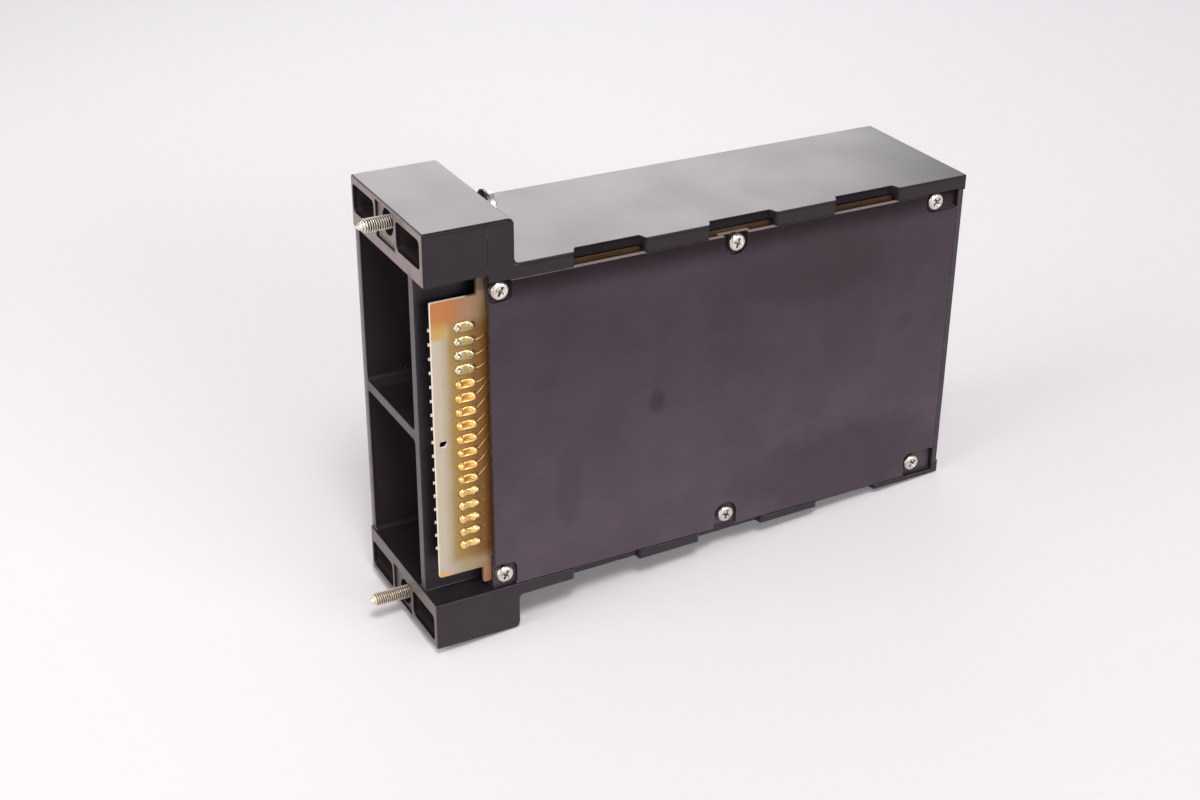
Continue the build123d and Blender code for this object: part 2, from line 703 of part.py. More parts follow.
INDICATOR_X = (195.0, 196.6)
INDICATOR_Y = (-20.0, 6.0)
INDICATOR_Z = (-48.0, 48.6)
LED_Y = (LENS_Y[0] + LENS_Y[1]) / 2


def indicator_led(z):
    """Round lamp on the indicator board, facing the lens."""
    x = INDICATOR_X[1]
    rim = rod_x((x, x + 1.2), LED_Y, z, 2.9)
    body = rod_x((x + 1.2, x + 4.6), LED_Y, z, 2.5)
    dome = Pos(x + 4.6, LED_Y, z) * Sphere(2.5)
    return rim + body + dome


def link_pin(z):
    """Right-angle pin from the main board to the indicator board."""
    x = INDICATOR_X[0] - 3.0
    y = INDICATOR_Y[0] + 1.5
    upright = block((x - 0.3, x + 0.3), (BOARD_FAR, y + 0.3), (z - 0.3, z + 0.3))
    return upright + block((x, INDICATOR_X[0]), (y - 0.3, y + 0.3), (z - 0.3, z + 0.3))


def indicator_resistor(z):
    """Small box resistor on the rear of the indicator board."""
    return block((INDICATOR_X[0] - 1.8, INDICATOR_X[0]), (-2.0, 3.5), (z - 1.2, z + 1.2))


# ---- write every node ------------------------------------------------------------------
def nodes():
    """Each node's name and shape."""
    rows = channel_heights()
    places = cover_screw_places()
    back = TOP_SCREW_BACK
    return {
        "housing": make_housing(),
        "side_cover": make_cover(),
        "cover_screws": separate(cover_screw(x, z) for x, z in places),
        "threaded_inserts": separate(threaded_insert(x, z) for x, z in places),
        "front_panel": make_front_panel(),
        "indicator_lens": make_lens(),
        "main_board": make_board(),
        "connector_contacts": separate(edge_contact(z) for z in contact_heights()),
        "contact_solder_joints": separate(
            solder_joint(x, z) for z in contact_heights() for x in LEG_X
        ),
        "connector_housing": make_connector_housing(),
        "top_captive_screw": captive_screw(1, back, 2.8),
        "bottom_captive_screw": captive_screw(-1, 0, 1.6),
        "top_lock_washer": lock_washer(1, back),
        "bottom_lock_washer": lock_washer(-1, 0),
        "top_retaining_ring": retaining_ring(1, back),
        "bottom_retaining_ring": retaining_ring(-1, 0),
        "heat_sink": make_heat_sink(),
        "heat_sink_rivets": separate(heat_sink_rivet(z) for z in (-46, 0, 46)),
        "triacs": separate(triac(z) for z in rows),
        "triac_screws": separate(triac_screw(z) for z in rows),
        "optocouplers": separate(chip(68.0, z, 8.6, 6) for z in rows),
        "logic_chips": separate(chip(48.0, z, 19.5, 16) for z in (-38.0, 0.0)),
        "filter_capacitors": separate(filter_capacitor(z) for z in (22.0, 44.0)),
        "gate_resistors": separate(resistor(81.0, z, 1.2, 6.5) for z in rows),
        "snubber_capacitors": separate(film_capacitor(98.0, z) for z in rows),
        "power_resistors": separate(resistor(120.0, z, 2.6, 13.0) for z in rows),
        "varistors": separate(varistor(158.5, z) for z in rows),
        "fuse_clips": separate(fuse_clip(x, z) for z in rows for x in (166.5, 181.5)),
        "fuse_caps": separate(fuse_cap(end, z) for z in rows for end in (0, 1)),
        "fuse_tubes": separate(fuse_tube(z) for z in rows),
        "indicator_board": block(INDICATOR_X, INDICATOR_Y, INDICATOR_Z),
        "indicator_leds": separate(indicator_led(z) for z in rows),
        "indicator_resistors": separate(indicator_resistor(z) for z in rows),
        "link_pins": separate(link_pin(2.54 * index) for index in range(-4, 5)),
    }


os.makedirs("parts", exist_ok=True)
for name, shape in nodes().items():
    export_step(shape, f"parts/{name}.step")
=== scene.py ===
import math
import random
from collections import namedtuple

import bmesh
import bpy
from mathutils import Euler, Matrix, Vector


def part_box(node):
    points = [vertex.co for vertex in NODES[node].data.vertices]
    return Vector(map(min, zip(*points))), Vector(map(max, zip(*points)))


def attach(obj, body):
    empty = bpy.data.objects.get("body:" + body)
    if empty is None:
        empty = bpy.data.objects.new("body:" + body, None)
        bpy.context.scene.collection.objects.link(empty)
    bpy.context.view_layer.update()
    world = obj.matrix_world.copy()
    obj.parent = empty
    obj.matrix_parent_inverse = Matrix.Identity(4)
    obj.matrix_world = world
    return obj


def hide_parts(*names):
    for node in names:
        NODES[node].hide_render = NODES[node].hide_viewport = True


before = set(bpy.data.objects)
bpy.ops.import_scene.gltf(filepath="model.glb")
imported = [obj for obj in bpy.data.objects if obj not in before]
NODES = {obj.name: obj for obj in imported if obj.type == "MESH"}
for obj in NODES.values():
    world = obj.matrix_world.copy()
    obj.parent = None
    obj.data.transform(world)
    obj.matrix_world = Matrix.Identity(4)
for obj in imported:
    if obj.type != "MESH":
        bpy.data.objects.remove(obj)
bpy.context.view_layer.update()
MM = 0.001
BOARD_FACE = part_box("main_board")[0].y


# ---- materials ------------------------------------------------------------------
class Paint:
    """One material, with short calls that add and join its nodes.

    What a call takes is a number, a colour of three numbers, or the output of another call.
    """

    def __init__(self, name):
        self.material = bpy.data.materials.new(name)
        self.material.use_nodes = True
        self.tree = self.material.node_tree
        self.shader = self.tree.nodes["Principled BSDF"]
        self.place = self.add("ShaderNodeTexCoord").outputs["Object"]
        self.facing = self.add("ShaderNodeNewGeometry").outputs["Normal"]

    def add(self, kind, **settings):
        node = self.tree.nodes.new(kind)
        for key, value in settings.items():
            setattr(node, key, value)
        return node

    def feed(self, socket, value):
        if isinstance(value, bpy.types.NodeSocket):
            self.tree.links.new(value, socket)
        elif isinstance(value, tuple) and len(value) == 3 and socket.type == "RGBA":
            socket.default_value = (*value, 1)
        else:
            socket.default_value = value

    def mapped(self, scale, turn=(0, 0, 0)):
        """The point's place, stretched along the axes and turned by degrees."""
        node = self.add("ShaderNodeMapping")
        self.feed(node.inputs["Vector"], self.place)
        node.inputs["Scale"].default_value = scale
        node.inputs["Rotation"].default_value = [math.radians(a) for a in turn]
        return node.outputs["Vector"]

    def noise(self, scale, detail, rough, vector=None):
        node = self.add("ShaderNodeTexNoise")
        self.feed(node.inputs["Vector"], vector or self.place)
        node.inputs["Scale"].default_value = scale
        node.inputs["Detail"].default_value = detail
        node.inputs["Roughness"].default_value = rough
        return node.outputs["Fac"]

    def cells(self, scale):
        """Distance to the nearest of many scattered points."""
        node = self.add("ShaderNodeTexVoronoi")
        self.feed(node.inputs["Vector"], self.place)
        node.inputs["Scale"].default_value = scale
        return node.outputs["Distance"]

    def stripes(self, direction, scale):
        """Fine regular bands along one axis."""
        node = self.add("ShaderNodeTexWave", wave_type="BANDS", bands_direction=direction)
        node.inputs["Scale"].default_value = scale
        self.feed(node.inputs["Vector"], self.place)
        return node.outputs["Fac"]

    def span(self, value, low, high, to_low=0, to_high=1, smooth=True):
        """The value's way from low to high, given as 0 to 1 or between two other numbers."""
        node = self.add("ShaderNodeMapRange")
        node.interpolation_type = "SMOOTHSTEP" if smooth else "LINEAR"
        self.feed(node.inputs["Value"], value)
        node.inputs["From Min"].default_value = low
        node.inputs["From Max"].default_value = high
        node.inputs["To Min"].default_value = to_low
        node.inputs["To Max"].default_value = to_high
        return node.outputs["Result"]

    def calc(self, operation, a, b=0.5):
        node = self.add("ShaderNodeMath", operation=operation)
        self.feed(node.inputs[0], a)
        self.feed(node.inputs[1], b)
        return node.outputs[0]

    def times(self, value, *factors):
        """Product of two or more values."""
        for factor in factors:
            value = self.calc("MULTIPLY", value, factor)
        return value

    def plus(self, value, *terms):
        """Sum of two or more values."""
        for term in terms:
            value = self.calc("ADD", value, term)
        return value

    def rest(self, share):
        """What a share leaves of one."""
        return self.calc("SUBTRACT", 1.0, share)

    def centred(self, noise):
        """Noise moved down by a half, so that it lies on both sides of zero."""
        return self.calc("SUBTRACT", noise, 0.5)

    def distance(self, value, middle=0.0):
        """How far a value is from a middle one, either way."""
        return self.calc("ABSOLUTE", self.calc("SUBTRACT", value, middle))

    def axis(self, vector, letter):
        node = self.add("ShaderNodeSeparateXYZ")
        self.feed(node.inputs[0], vector)
        return node.outputs[letter]

    def xyz(self):
        """The point's place along X, Y and Z."""
        return [self.axis(self.place, letter) for letter in "XYZ"]

    def mix(self, share, a, b):
        node = self.add("ShaderNodeMix", data_type="RGBA")
        self.feed(node.inputs[0], share)
        self.feed(node.inputs[6], a)
        self.feed(node.inputs[7], b)
        return node.outputs[2]

    def ramp(self, value, stops):
        """Colour along a value between 0 and 1, from a few named stops."""
        node = self.add("ShaderNodeValToRGB")
        self.feed(node.inputs[0], value)
        marks = node.color_ramp.elements
        for at, color in stops[1:-1]:
            marks.new(at).color = (*color, 1)
        for mark, (at, color) in ((marks[0], stops[0]), (marks[len(marks) - 1], stops[-1])):
            mark.position, mark.color = at, (*color, 1)
        return node.outputs[0]

    def hollows(self, distance, shallow=0.85, deep=0.25):
        """How deep in a groove or corner a point lies, from 0 in the open to 1."""
        node = self.add("ShaderNodeAmbientOcclusion", samples=6)
        node.inputs["Distance"].default_value = distance
        return self.span(node.outputs["AO"], shallow, deep)

    def edges(self, radius):
        """How near a point is to a sharp edge, and the rounded normal there."""
        bevel = self.add("ShaderNodeBevel", samples=6)
        bevel.inputs["Radius"].default_value = radius
        dot = self.add("ShaderNodeVectorMath", operation="DOT_PRODUCT")
        self.feed(dot.inputs[0], bevel.outputs[0])
        self.feed(dot.inputs[1], self.facing)
        return self.span(dot.outputs["Value"], 0.995, 0.85), bevel.outputs[0]

    def bump(self, height, depth, normal=None):
        """Relief of a height pattern, on top of another normal if one is given."""
        node = self.add("ShaderNodeBump")
        node.inputs["Strength"].default_value = 1.0
        node.inputs["Distance"].default_value = depth
        self.feed(node.inputs["Height"], height)
        if normal is not None:
            self.feed(node.inputs["Normal"], normal)
        return node.outputs["Normal"]

    def finish(self, color, rough, normal, **plain):
        """Joins the parts to the shader and returns the material.

        Plain values go to the inputs they are named after.
        """
        self.feed(self.shader.inputs["Base Color"], color)
        self.feed(self.shader.inputs["Roughness"], rough)
        self.feed(self.shader.inputs["Normal"], normal)
        for name, value in plain.items():
            self.feed(self.shader.inputs[name.replace("_", " ")], value)
        return self.material


# Places where the case's look changes, each as the start and the end of a gradual change.
# Heights of the pockets, bays and blocks are taken both ways from the module's middle.
REAR_LIP = 0.9 * MM, 2.2 * MM
POCKET_END = 31 * MM, 29 * MM
POCKET_FLOOR = 62.4 * MM, 63.2 * MM
POCKET_ROOF = 76.3 * MM, 75.6 * MM
POCKET_SIDE = 29.2 * MM, 28.6 * MM
BAY_WALL = 18 * MM, 20 * MM
BAY_END = 59 * MM, 58 * MM
REAR_FACE = 2.6 * MM, 1.6 * MM
FAR_WALL = 26.4 * MM, 29.9 * MM
PARTITION = 22 * MM, 20 * MM
BLOCKS = 57.5 * MM, 59.5 * MM
LOWER_BLOCK = -56 * MM, -58 * MM
NEAR_SIDE = -18 * MM, -22 * MM
SET_BACK = -29.2 * MM, -28.6 * MM
WINDOW_FLOOR = 54 * MM, 55 * MM
COVER_EDGE = 54.4 * MM, 55.2 * MM
# The windows along the case's upper edge, where the cover's edge gets a painted highlight
WINDOW_START, WINDOW_PITCH, WINDOW_WIDTH = 52.8 * MM, 50.85 * MM, 26.9 * MM
WINDOW_BLEND = 0.3 * MM


def scuffs(paint, turn, density):
    """Short fine scratches in a few scattered patches."""
    vector = paint.mapped((density, density, density * 0.07), turn)
    lines = paint.span(paint.noise(1.0, 2, 0.5, vector), 0.69, 0.73)
    patch = paint.span(paint.noise(40, 2, 0.5), 0.56, 0.7)
    return paint.times(lines, patch)


def thumb_marks(paint, color, shine, deep, marks):
    """Dull ovals on the near side: X, height, half length, half height and share."""
    x, _, z = paint.xyz()
    wander = paint.times(paint.centred(paint.noise(110, 3, 0.6)), 0.9)
    for mark_x, mark_z, half_x, half_z, share in marks:
        dx = paint.calc("DIVIDE", paint.calc("SUBTRACT", x, mark_x * MM), half_x * MM)
        dz = paint.calc("DIVIDE", paint.calc("SUBTRACT", z, mark_z * MM), half_z * MM)
        off = paint.plus(paint.times(dx, dx), paint.times(dz, dz), wander)
        spot = paint.times(paint.span(off, 1.3, 0.2), share)
        color = paint.mix(spot, color, deep)
        shine = paint.times(shine, paint.rest(paint.times(spot, 0.45)))
    return color, shine


def dust(paint, color, dusty):
    """Dust in the blocks' pockets and, thinner, on the far wall of the rear bays."""
    x, y, z = paint.xyz()
    tall = paint.distance(z)
    past_lip = paint.span(x, *REAR_LIP)
    pockets = paint.times(
        past_lip,
        paint.span(x, *POCKET_END),
        paint.span(tall, *POCKET_FLOOR),
        paint.span(tall, *POCKET_ROOF),
        paint.span(paint.distance(y), *POCKET_SIDE),
    )
    color = paint.mix(pockets, color, dusty)
    bays = paint.times(past_lip, paint.span(y, *BAY_WALL), paint.span(tall, *BAY_END, 0, 0.35))
    return paint.mix(bays, color, dusty)


def rubbed_back(paint, color, back):
    """Rear faces rubbed pale: the blocks', the partition's and the far wall's."""
    x, y, z = paint.xyz()
    toward_back = paint.span(paint.axis(paint.facing, "X"), -0.6, -0.9)
    rubbed = paint.span(paint.noise(180, 4, 0.6), 0.25, 0.6, 0.7, 1)
    far_wall = paint.span(y, *FAR_WALL, 0.08, 1)
    partition = paint.span(y, *PARTITION, 0, 0.22)
    blocks = paint.span(paint.distance(z), *BLOCKS)
    zone = paint.calc("MAXIMUM", paint.calc("MAXIMUM", far_wall, partition), blocks)
    lower = paint.span(z, *LOWER_BLOCK, 1, 0.5)
    share = paint.times(toward_back, paint.span(x, *REAR_FACE), rubbed, lower, zone)
    return paint.mix(share, color, back)


def lit_edge(paint, color, rim):
    """Painted highlight on the cover's upper edge, seen through the windows."""
    x, _, z = paint.xyz()
    upward = paint.span(paint.axis(paint.facing, "Z"), 0.6, 0.8)
    past = paint.calc("MODULO", paint.calc("SUBTRACT", x, WINDOW_START), WINDOW_PITCH)
    ends = WINDOW_WIDTH + WINDOW_BLEND, WINDOW_WIDTH - WINDOW_BLEND
    share = paint.times(upward, paint.span(z, *COVER_EDGE), paint.span(past, *ends, 0.2, 1))
    return paint.mix(share, color, rim)


def shaded_bands(paint, color, shine, shade, dim):
    """Bands of the near side that take less light, and the windows' walls, set back from it.

    Each band is a height, a half width, a share, and the X where it starts. A share below zero
    leaves the colour and adds shine.
    """
    x, y, z = paint.xyz()
    near = paint.span(paint.axis(paint.facing, "Y"), -0.45, -0.8)
    near = paint.times(near, paint.span(y, *NEAR_SIDE))
    shares = []
    for middle, half, share, start in dim:
        band = paint.span(paint.distance(z, middle * MM), half * MM, half * 0.15 * MM)
        along = paint.span(x, (start - 0.3) * MM, (start + 0.3) * MM, 0, share)
        shares.append(paint.times(band, near, along))
    window = paint.times(paint.span(y, *SET_BACK), paint.span(z, *WINDOW_FLOOR, 0, 0.55), near)
    for share in (*shares, window):
        color = paint.mix(share, color, shade)
        shine = paint.times(shine, paint.rest(share))
    return color, shine


def plastic(
    name, base, faded, wear_and_edge_sheen, rough, grain=6e-6, back=None, dusty=None, rim=None, dim=(), marks=()
):
    """Moulded plastic: fine grain, clouded fading, thumb marks, rubbed edges with a painted
    highlight along them, and scratches.

    The colours back, dusty and rim are for the rubbed rear, the dust and the painted highlight on
    the cover's upper edge, where the moulding has them. What dim and marks hold is said at
    shaded_bands and thumb_marks.
    """
    paint = Paint(name)
    cloud = paint.span(paint.noise(48, 6, 0.66), 0.32, 0.70)
    color, shine = paint.mix(cloud, base, faded), 0.5
    deep, shade = tuple(c * 0.3 for c in base), tuple(c * 0.15 for c in base)
    color, shine = thumb_marks(paint, color, shine, deep, marks)
    if dusty is not None:
        color = dust(paint, color, dusty)
    if back is not None:
        color = rubbed_back(paint, color, back)
    if rim is not None:
        color = lit_edge(paint, color, rim)
    edge, rounded = paint.edges(0.45 * MM)
    edge_patches = paint.span(paint.noise(700, 3, 0.6), 0.35, 0.7)
    scratch = paint.plus(scuffs(paint, (0, 35, 0), 380), scuffs(paint, (20, -62, 15), 300))
    speck = paint.span(paint.cells(150), 0.022, 0.010)
    # Edges take the pale worn colour in patches: partly real rubbing, partly a painted highlight
    # along the edges.
    color = paint.mix(paint.times(edge, edge_patches), color, wear_and_edge_sheen)
    color = paint.mix(paint.times(scratch, 0.07), color, wear_and_edge_sheen)
    color = paint.mix(paint.times(speck, 0.3), color, wear_and_edge_sheen)
    color, shine = shaded_bands(paint, color, shine, shade, dim)
    paint.feed(paint.shader.inputs["Specular IOR Level"], shine)
    mottle = paint.span(paint.noise(30, 3, 0.55), 0.3, 0.75, 0, 0.05)
    gloss = paint.plus(mottle, rough, paint.times(scratch, 0.05))
    unevenness = paint.times(paint.noise(60, 2, 0.5), 2.0)
    skin = paint.plus(paint.noise(2600, 2, 0.5), paint.times(scratch, -0.5), unevenness)
    normal = paint.bump(skin, grain, rounded)
    return paint.finish(color, gloss, normal, Specular_Tint=(1.0, 0.90, 0.975))


def metal(name, base, dark, rough, scale, stretch=(1, 1, 1), grime_and_shade=None):
    """Plated or bare metal: patchy tarnish, fine tool marks, and dirt with painted shade in its
    hollows.
    """
    paint = Paint(name)
    patch = paint.span(paint.noise(scale * 0.35, 4, 0.6), 0.42, 0.72)
    color = paint.mix(patch, base, dark)
    marks = paint.noise(scale, 3, 0.6, paint.mapped(stretch))
    shine = paint.span(marks, 0.3, 0.7, rough - 0.07, rough + 0.12)
    edge, rounded = paint.edges(0.12 * MM)
    color = paint.mix(paint.times(edge, 0.5), color, base)
    # Dirt and painted shade darken the hollows, such as thread roots and slots.
    if grime_and_shade is not None:
        color = paint.mix(paint.hollows(0.6 * MM, 0.88, 0.45), color, grime_and_shade)
    return paint.finish(color, shine, paint.bump(marks, 4e-6, rounded), Metallic=1.0)


def coated(name, base, second, rough, grain=5e-6, **plain):
    """Lacquered, dipped or sleeved surface with soft colour variation."""
    paint = Paint(name)
    blotch = paint.span(paint.noise(120, 4, 0.6), 0.35, 0.7)
    color = paint.mix(blotch, base, second)
    fine = paint.noise(2000, 3, 0.6)
    shine = paint.span(blotch, 0, 1, rough, rough + 0.12)
    rounded = paint.edges(0.15 * MM)[1]
    return paint.finish(color, shine, paint.bump(fine, grain, rounded), **plain)


def banded(name, coat, bands, half):
    """Resistor coat with colour rings at places along X."""
    paint = Paint(name)
    blotch = paint.span(paint.noise(500, 3, 0.6), 0.3, 0.7)
    color = paint.mix(blotch, coat, tuple(c * 0.8 for c in coat))
    along = paint.axis(paint.place, "X")
    for middle, ring in bands:
        off = paint.distance(along, middle)
        color = paint.mix(paint.span(off, half, half * 0.8), color, ring)
    rounded = paint.edges(0.1 * MM)[1]
    return paint.finish(color, 0.4, paint.bump(paint.noise(2500, 2, 0.5), 4e-6, rounded))


# Colours across the tongue, from its rear edge (0) to the cover (1), partly the board's own tone
# and partly painted reflection and shade
ACROSS = 0, 24 * MM
TONGUE_MIDDLE = [
    (0.04, (0.415, 0.365, 0.295)),
    (0.14, (0.365, 0.315, 0.235)),
    (0.26, (0.340, 0.292, 0.225)),
    (0.34, (0.290, 0.235, 0.155)),
    (0.42, (0.225, 0.145, 0.048)),
    (0.60, (0.195, 0.103, 0.024)),
    (0.78, (0.128, 0.057, 0.012)),
    (0.92, (0.125, 0.050, 0.009)),
]
TONGUE_TOP = [
    (0.12, (0.345, 0.122, 0.034)),
    (0.34, (0.315, 0.116, 0.032)),
    (0.50, (0.275, 0.112, 0.040)),
    (0.70, (0.220, 0.120, 0.075)),
    (0.90, (0.165, 0.100, 0.040)),
]
TONGUE_FOOT = [
    (0.04, (0.430, 0.372, 0.320)),
    (0.20, (0.335, 0.300, 0.250)),
    (0.38, (0.295, 0.240, 0.175)),
    (0.54, (0.235, 0.195, 0.105)),
    (0.76, (0.225, 0.155, 0.082)),
    (0.92, (0.215, 0.132, 0.078)),
]
# Heights and places along X where the board's colour changes, each from start to end
GOLDEN_START = 37.4 * MM, 39.4 * MM
TOP_START = 40.5 * MM, 45.5 * MM
FOOT_START = -43.5 * MM, -48.0 * MM
CORNER_START = -44.5 * MM, -46.5 * MM
CORNER_SLANT = 14 * MM
STRIP_START = 52.6 * MM, 53.4 * MM
UNDER_COVER = 26 * MM, 30 * MM
LEG_TOP = -48 * MM, -51 * MM
LEG_SIDE = 17 * MM, 18 * MM
RIM_END = 17 * MM, 15 * MM
WEAVE = 330


def tongue_colors(paint):
    """Pale at the tongue's rear edge, amber toward the cover, orange above, greyish below; partly
    the board's own tone, partly painted reflection and shade.
    """
    x, _, z = paint.xyz()
    drift = paint.times(paint.centred(paint.noise(110, 3, 0.6)), 1.6 * MM)
    across = paint.span(paint.plus(x, drift), *ACROSS, smooth=False)
    height = paint.plus(z, paint.times(drift, 1.5))
    golden = paint.times(paint.span(height, *GOLDEN_START), paint.span(across, 0.44, 0.30))
    color = paint.mix(golden, paint.ramp(across, TONGUE_MIDDLE), (0.345, 0.225, 0.066))
    color = paint.mix(paint.span(height, *TOP_START), color, paint.ramp(across, TONGUE_TOP))
    color = paint.mix(paint.span(height, *FOOT_START), color, paint.ramp(across, TONGUE_FOOT))
    slanted = paint.plus(z, paint.times(across, CORNER_SLANT))
    return paint.mix(paint.span(slanted, *CORNER_START), color, (0.44, 0.25, 0.10))


def strip_and_leg(paint, color):
    """The board's edge strip above the tongue and in the windows, and its leg below; the strip's
    dark browns are the board's tone with painted shade, darkest under the cover.
    """
    x, _, z = paint.xyz()
    patchy = paint.noise(200, 3, 0.6)
    # Painted shade: the strip is darkened, most where it runs under the cover.
    outer = paint.mix(patchy, (0.115, 0.082, 0.050), (0.070, 0.048, 0.030))
    under = paint.mix(patchy, (0.056, 0.028, 0.012), (0.030, 0.015, 0.007))
    edge_strip = paint.mix(paint.span(x, *UNDER_COVER), outer, under)
    color = paint.mix(paint.span(z, *STRIP_START), color, edge_strip)
    leg = paint.times(paint.span(z, *LEG_TOP), paint.span(x, *LEG_SIDE))
    return paint.mix(leg, color, (0.235, 0.115, 0.066))


def laminate(name, zones=True):
    """Circuit board: woven glass under lacquer, with pale cut edges."""
    paint = Paint(name)
    cloth = paint.times(paint.stripes("X", WEAVE), paint.stripes("Z", WEAVE))
    rim = paint.span(paint.distance(paint.axis(paint.facing, "Y")), 0.7, 0.4)
    if zones:
        color = tongue_colors(paint)
    else:
        amber, dark = (0.165, 0.070, 0.014), (0.095, 0.032, 0.006)
        color = paint.mix(paint.span(paint.noise(140, 4, 0.6), 0.3, 0.7), amber, dark)
    color = paint.mix(paint.times(cloth, 0.05), color, (0.5, 0.46, 0.36))
    if zones:
        color = strip_and_leg(paint, color)
        rim = paint.times(rim, paint.span(paint.axis(paint.place, "X"), *RIM_END))
    color = paint.mix(rim, color, (0.78, 0.70, 0.60))
    height = paint.plus(cloth, paint.noise(300, 3, 0.6))
    rough = paint.span(paint.noise(120, 3, 0.6), 0.3, 0.7, 0.26, 0.40)
    return paint.finish(color, rough, paint.bump(height, 4e-6), Specular_IOR_Level=0.22)


# Depths above the board between which solder turns from dark to bright, painted shade and
# highlight over old flux, and the places where one kind of solder gives way to the next
LOW, RAISED = 0.06 * MM, 0.50 * MM
TIN_END = 25 * MM, 22.8 * MM
PALE_START = -11 * MM, -17 * MM
SECOND_LEG = 13.8 * MM, 15.0 * MM


def gilded(name, tinned=True):
    """Plated pads and solder: greenish tin at the top rows, then amber, then pale gold.

    The metal is dark where it lies low on the board, from old flux and painted shade, and bright
    where it is raised, a painted highlight. Flux and painted shade also darken its hollows.
    """
    paint = Paint(name)
    x, y, z = paint.xyz()
    # Painted shade where the solder lies low, over old flux, and a painted highlight where it is
    # raised.
    raised = paint.span(y, BOARD_FACE - LOW, BOARD_FACE - RAISED)
    color = paint.mix(raised, (0.50, 0.235, 0.050), (0.93, 0.60, 0.22))
    if tinned:
        tin = paint.mix(raised, (0.30, 0.215, 0.085), (0.66, 0.62, 0.43))
        tin = paint.mix(paint.span(x, *SECOND_LEG, 0, 0.75), tin, (0.38, 0.285, 0.125))
        color = paint.mix(paint.span(z, *TIN_END), tin, color)
    pale = paint.mix(raised, (0.34, 0.165, 0.032), (0.80, 0.56, 0.235))
    color = paint.mix(paint.span(z, *PALE_START), color, pale)
    stain = paint.span(paint.noise(420, 3, 0.6), 0.5, 0.7)
    color = paint.mix(paint.times(stain, 0.30), color, (0.34, 0.16, 0.04))
    # Old flux and painted shade darken the solder's hollows.
    flux = paint.times(paint.hollows(0.9 * MM), 0.6)
    color = paint.mix(flux, color, (0.15, 0.060, 0.013))
    rough = paint.span(paint.noise(600, 3, 0.6), 0.3, 0.7, 0.22, 0.34)
    return paint.finish(color, rough, paint.bump(paint.noise(700, 2, 0.5), 6e-6), Metallic=0.9)


def contact_metal(name):
    """Tinned contacts whose soldered ends are browned by flux."""
    paint = Paint(name)
    patch = paint.span(paint.noise(500, 4, 0.6), 0.42, 0.72)
    color = paint.mix(patch, (0.86, 0.83, 0.76), (0.64, 0.58, 0.47))
    proud = paint.axis(paint.place, "Y")
    ends = paint.span(proud, BOARD_FACE - 0.2 * MM, BOARD_FACE - 0.35 * MM)
    color = paint.mix(ends, color, (0.22, 0.10, 0.025))
    marks = paint.noise(1500, 3, 0.6)
    rough = paint.span(marks, 0.3, 0.7, 0.2, 0.36)
    normal = paint.bump(marks, 4e-6, paint.edges(0.1 * MM)[1])
    return paint.finish(color, rough, normal, Metallic=1.0)


def glassy(name):
    """Clear glass with a faint haze."""
    paint = Paint(name)
    haze = paint.noise(300, 3, 0.6)
    color = paint.mix(haze, (0.9, 0.95, 0.95), (0.8, 0.86, 0.88))
    rough = paint.span(haze, 0.3, 0.7, 0.03, 0.12)
    return paint.finish(color, rough, paint.bump(haze, 3e-6), Transmission_Weight=0.85, IOR=1.5)


def lens_red(name):
    """Tinted lens with fine ribs across it."""
    paint = Paint(name)
    color = paint.mix(paint.noise(200, 3, 0.6), (0.34, 0.02, 0.015), (0.2, 0.01, 0.01))
    rough = paint.span(paint.noise(90, 3, 0.6), 0.3, 0.7, 0.12, 0.25)
    normal = paint.bump(paint.stripes("Z", 200), 4e-5, paint.edges(0.3 * MM)[1])
    return paint.finish(color, rough, normal, Transmission_Weight=0.25, IOR=1.49)


BLACK = plastic(
    "housing_moulding",
    base=(0.0105, 0.0082, 0.0102),
    faded=(0.0150, 0.0118, 0.0142),
    wear_and_edge_sheen=(0.105, 0.092, 0.092),
    rough=0.36,
    back=(0.20, 0.158, 0.145),
    dusty=(0.050, 0.037, 0.038),
    dim=((60.9, 1.3, 0.35, 33), (76.9, 1.8, 0.5, -1), (0, 600, 0.38, -1), (-70, 24, -0.60, -1)),
)
COVER = plastic(
    "cover_moulding",
    # rim: painted highlight colour for the cover's upper edge in the windows
    rim=(0.27, 0.215, 0.21),
    base=(0.0360, 0.0240, 0.0308),
    faded=(0.0490, 0.0340, 0.0422),
    wear_and_edge_sheen=(0.115, 0.100, 0.100),
    rough=0.40,
    grain=3e-6,
    dim=((57.5, 12, 0.72, -1), (60, 125, 0.42, -1)),
    marks=(
        (84.9, -0.5, 3.6, 5.6, 0.46),
        (188.0, 8.0, 4.5, 4.0, 0.20),
        (51.0, -25.0, 6.0, 17.0, 0.22),
        (166.0, -46.0, 48.0, 20.0, 0.42),
        (150.0, 36.0, 34.0, 13.0, 0.22),
        (111.0, 20.0, 12.0, 18.0, 0.10),
        (48.0, 36.0, 16.0, 12.0, 0.10),
    ),
)
PANEL = plastic(
    "panel_moulding",
    base=(0.015, 0.0115, 0.0125),
    faded=(0.020, 0.016, 0.017),
    wear_and_edge_sheen=(0.10, 0.09, 0.09),
    rough=0.42,
)
EPOXY = coated("package_epoxy", (0.012, 0.012, 0.014), (0.022, 0.022, 0.024), 0.45, grain=8e-6)
CONNECTOR = coated("connector_moulding", (0.014, 0.014, 0.016), (0.02, 0.02, 0.02), 0.4)
ZINC = metal(
    "zinc_plate", (0.66, 0.63, 0.58), (0.46, 0.42, 0.36), 0.27, 1100, grime_and_shade=(0.10, 0.09, 0.075)
)
IVORY = metal(
    "dull_zinc_top", (0.84, 0.79, 0.71), (0.70, 0.63, 0.53), 0.30, 500, grime_and_shade=(0.055, 0.035, 0.022)
)
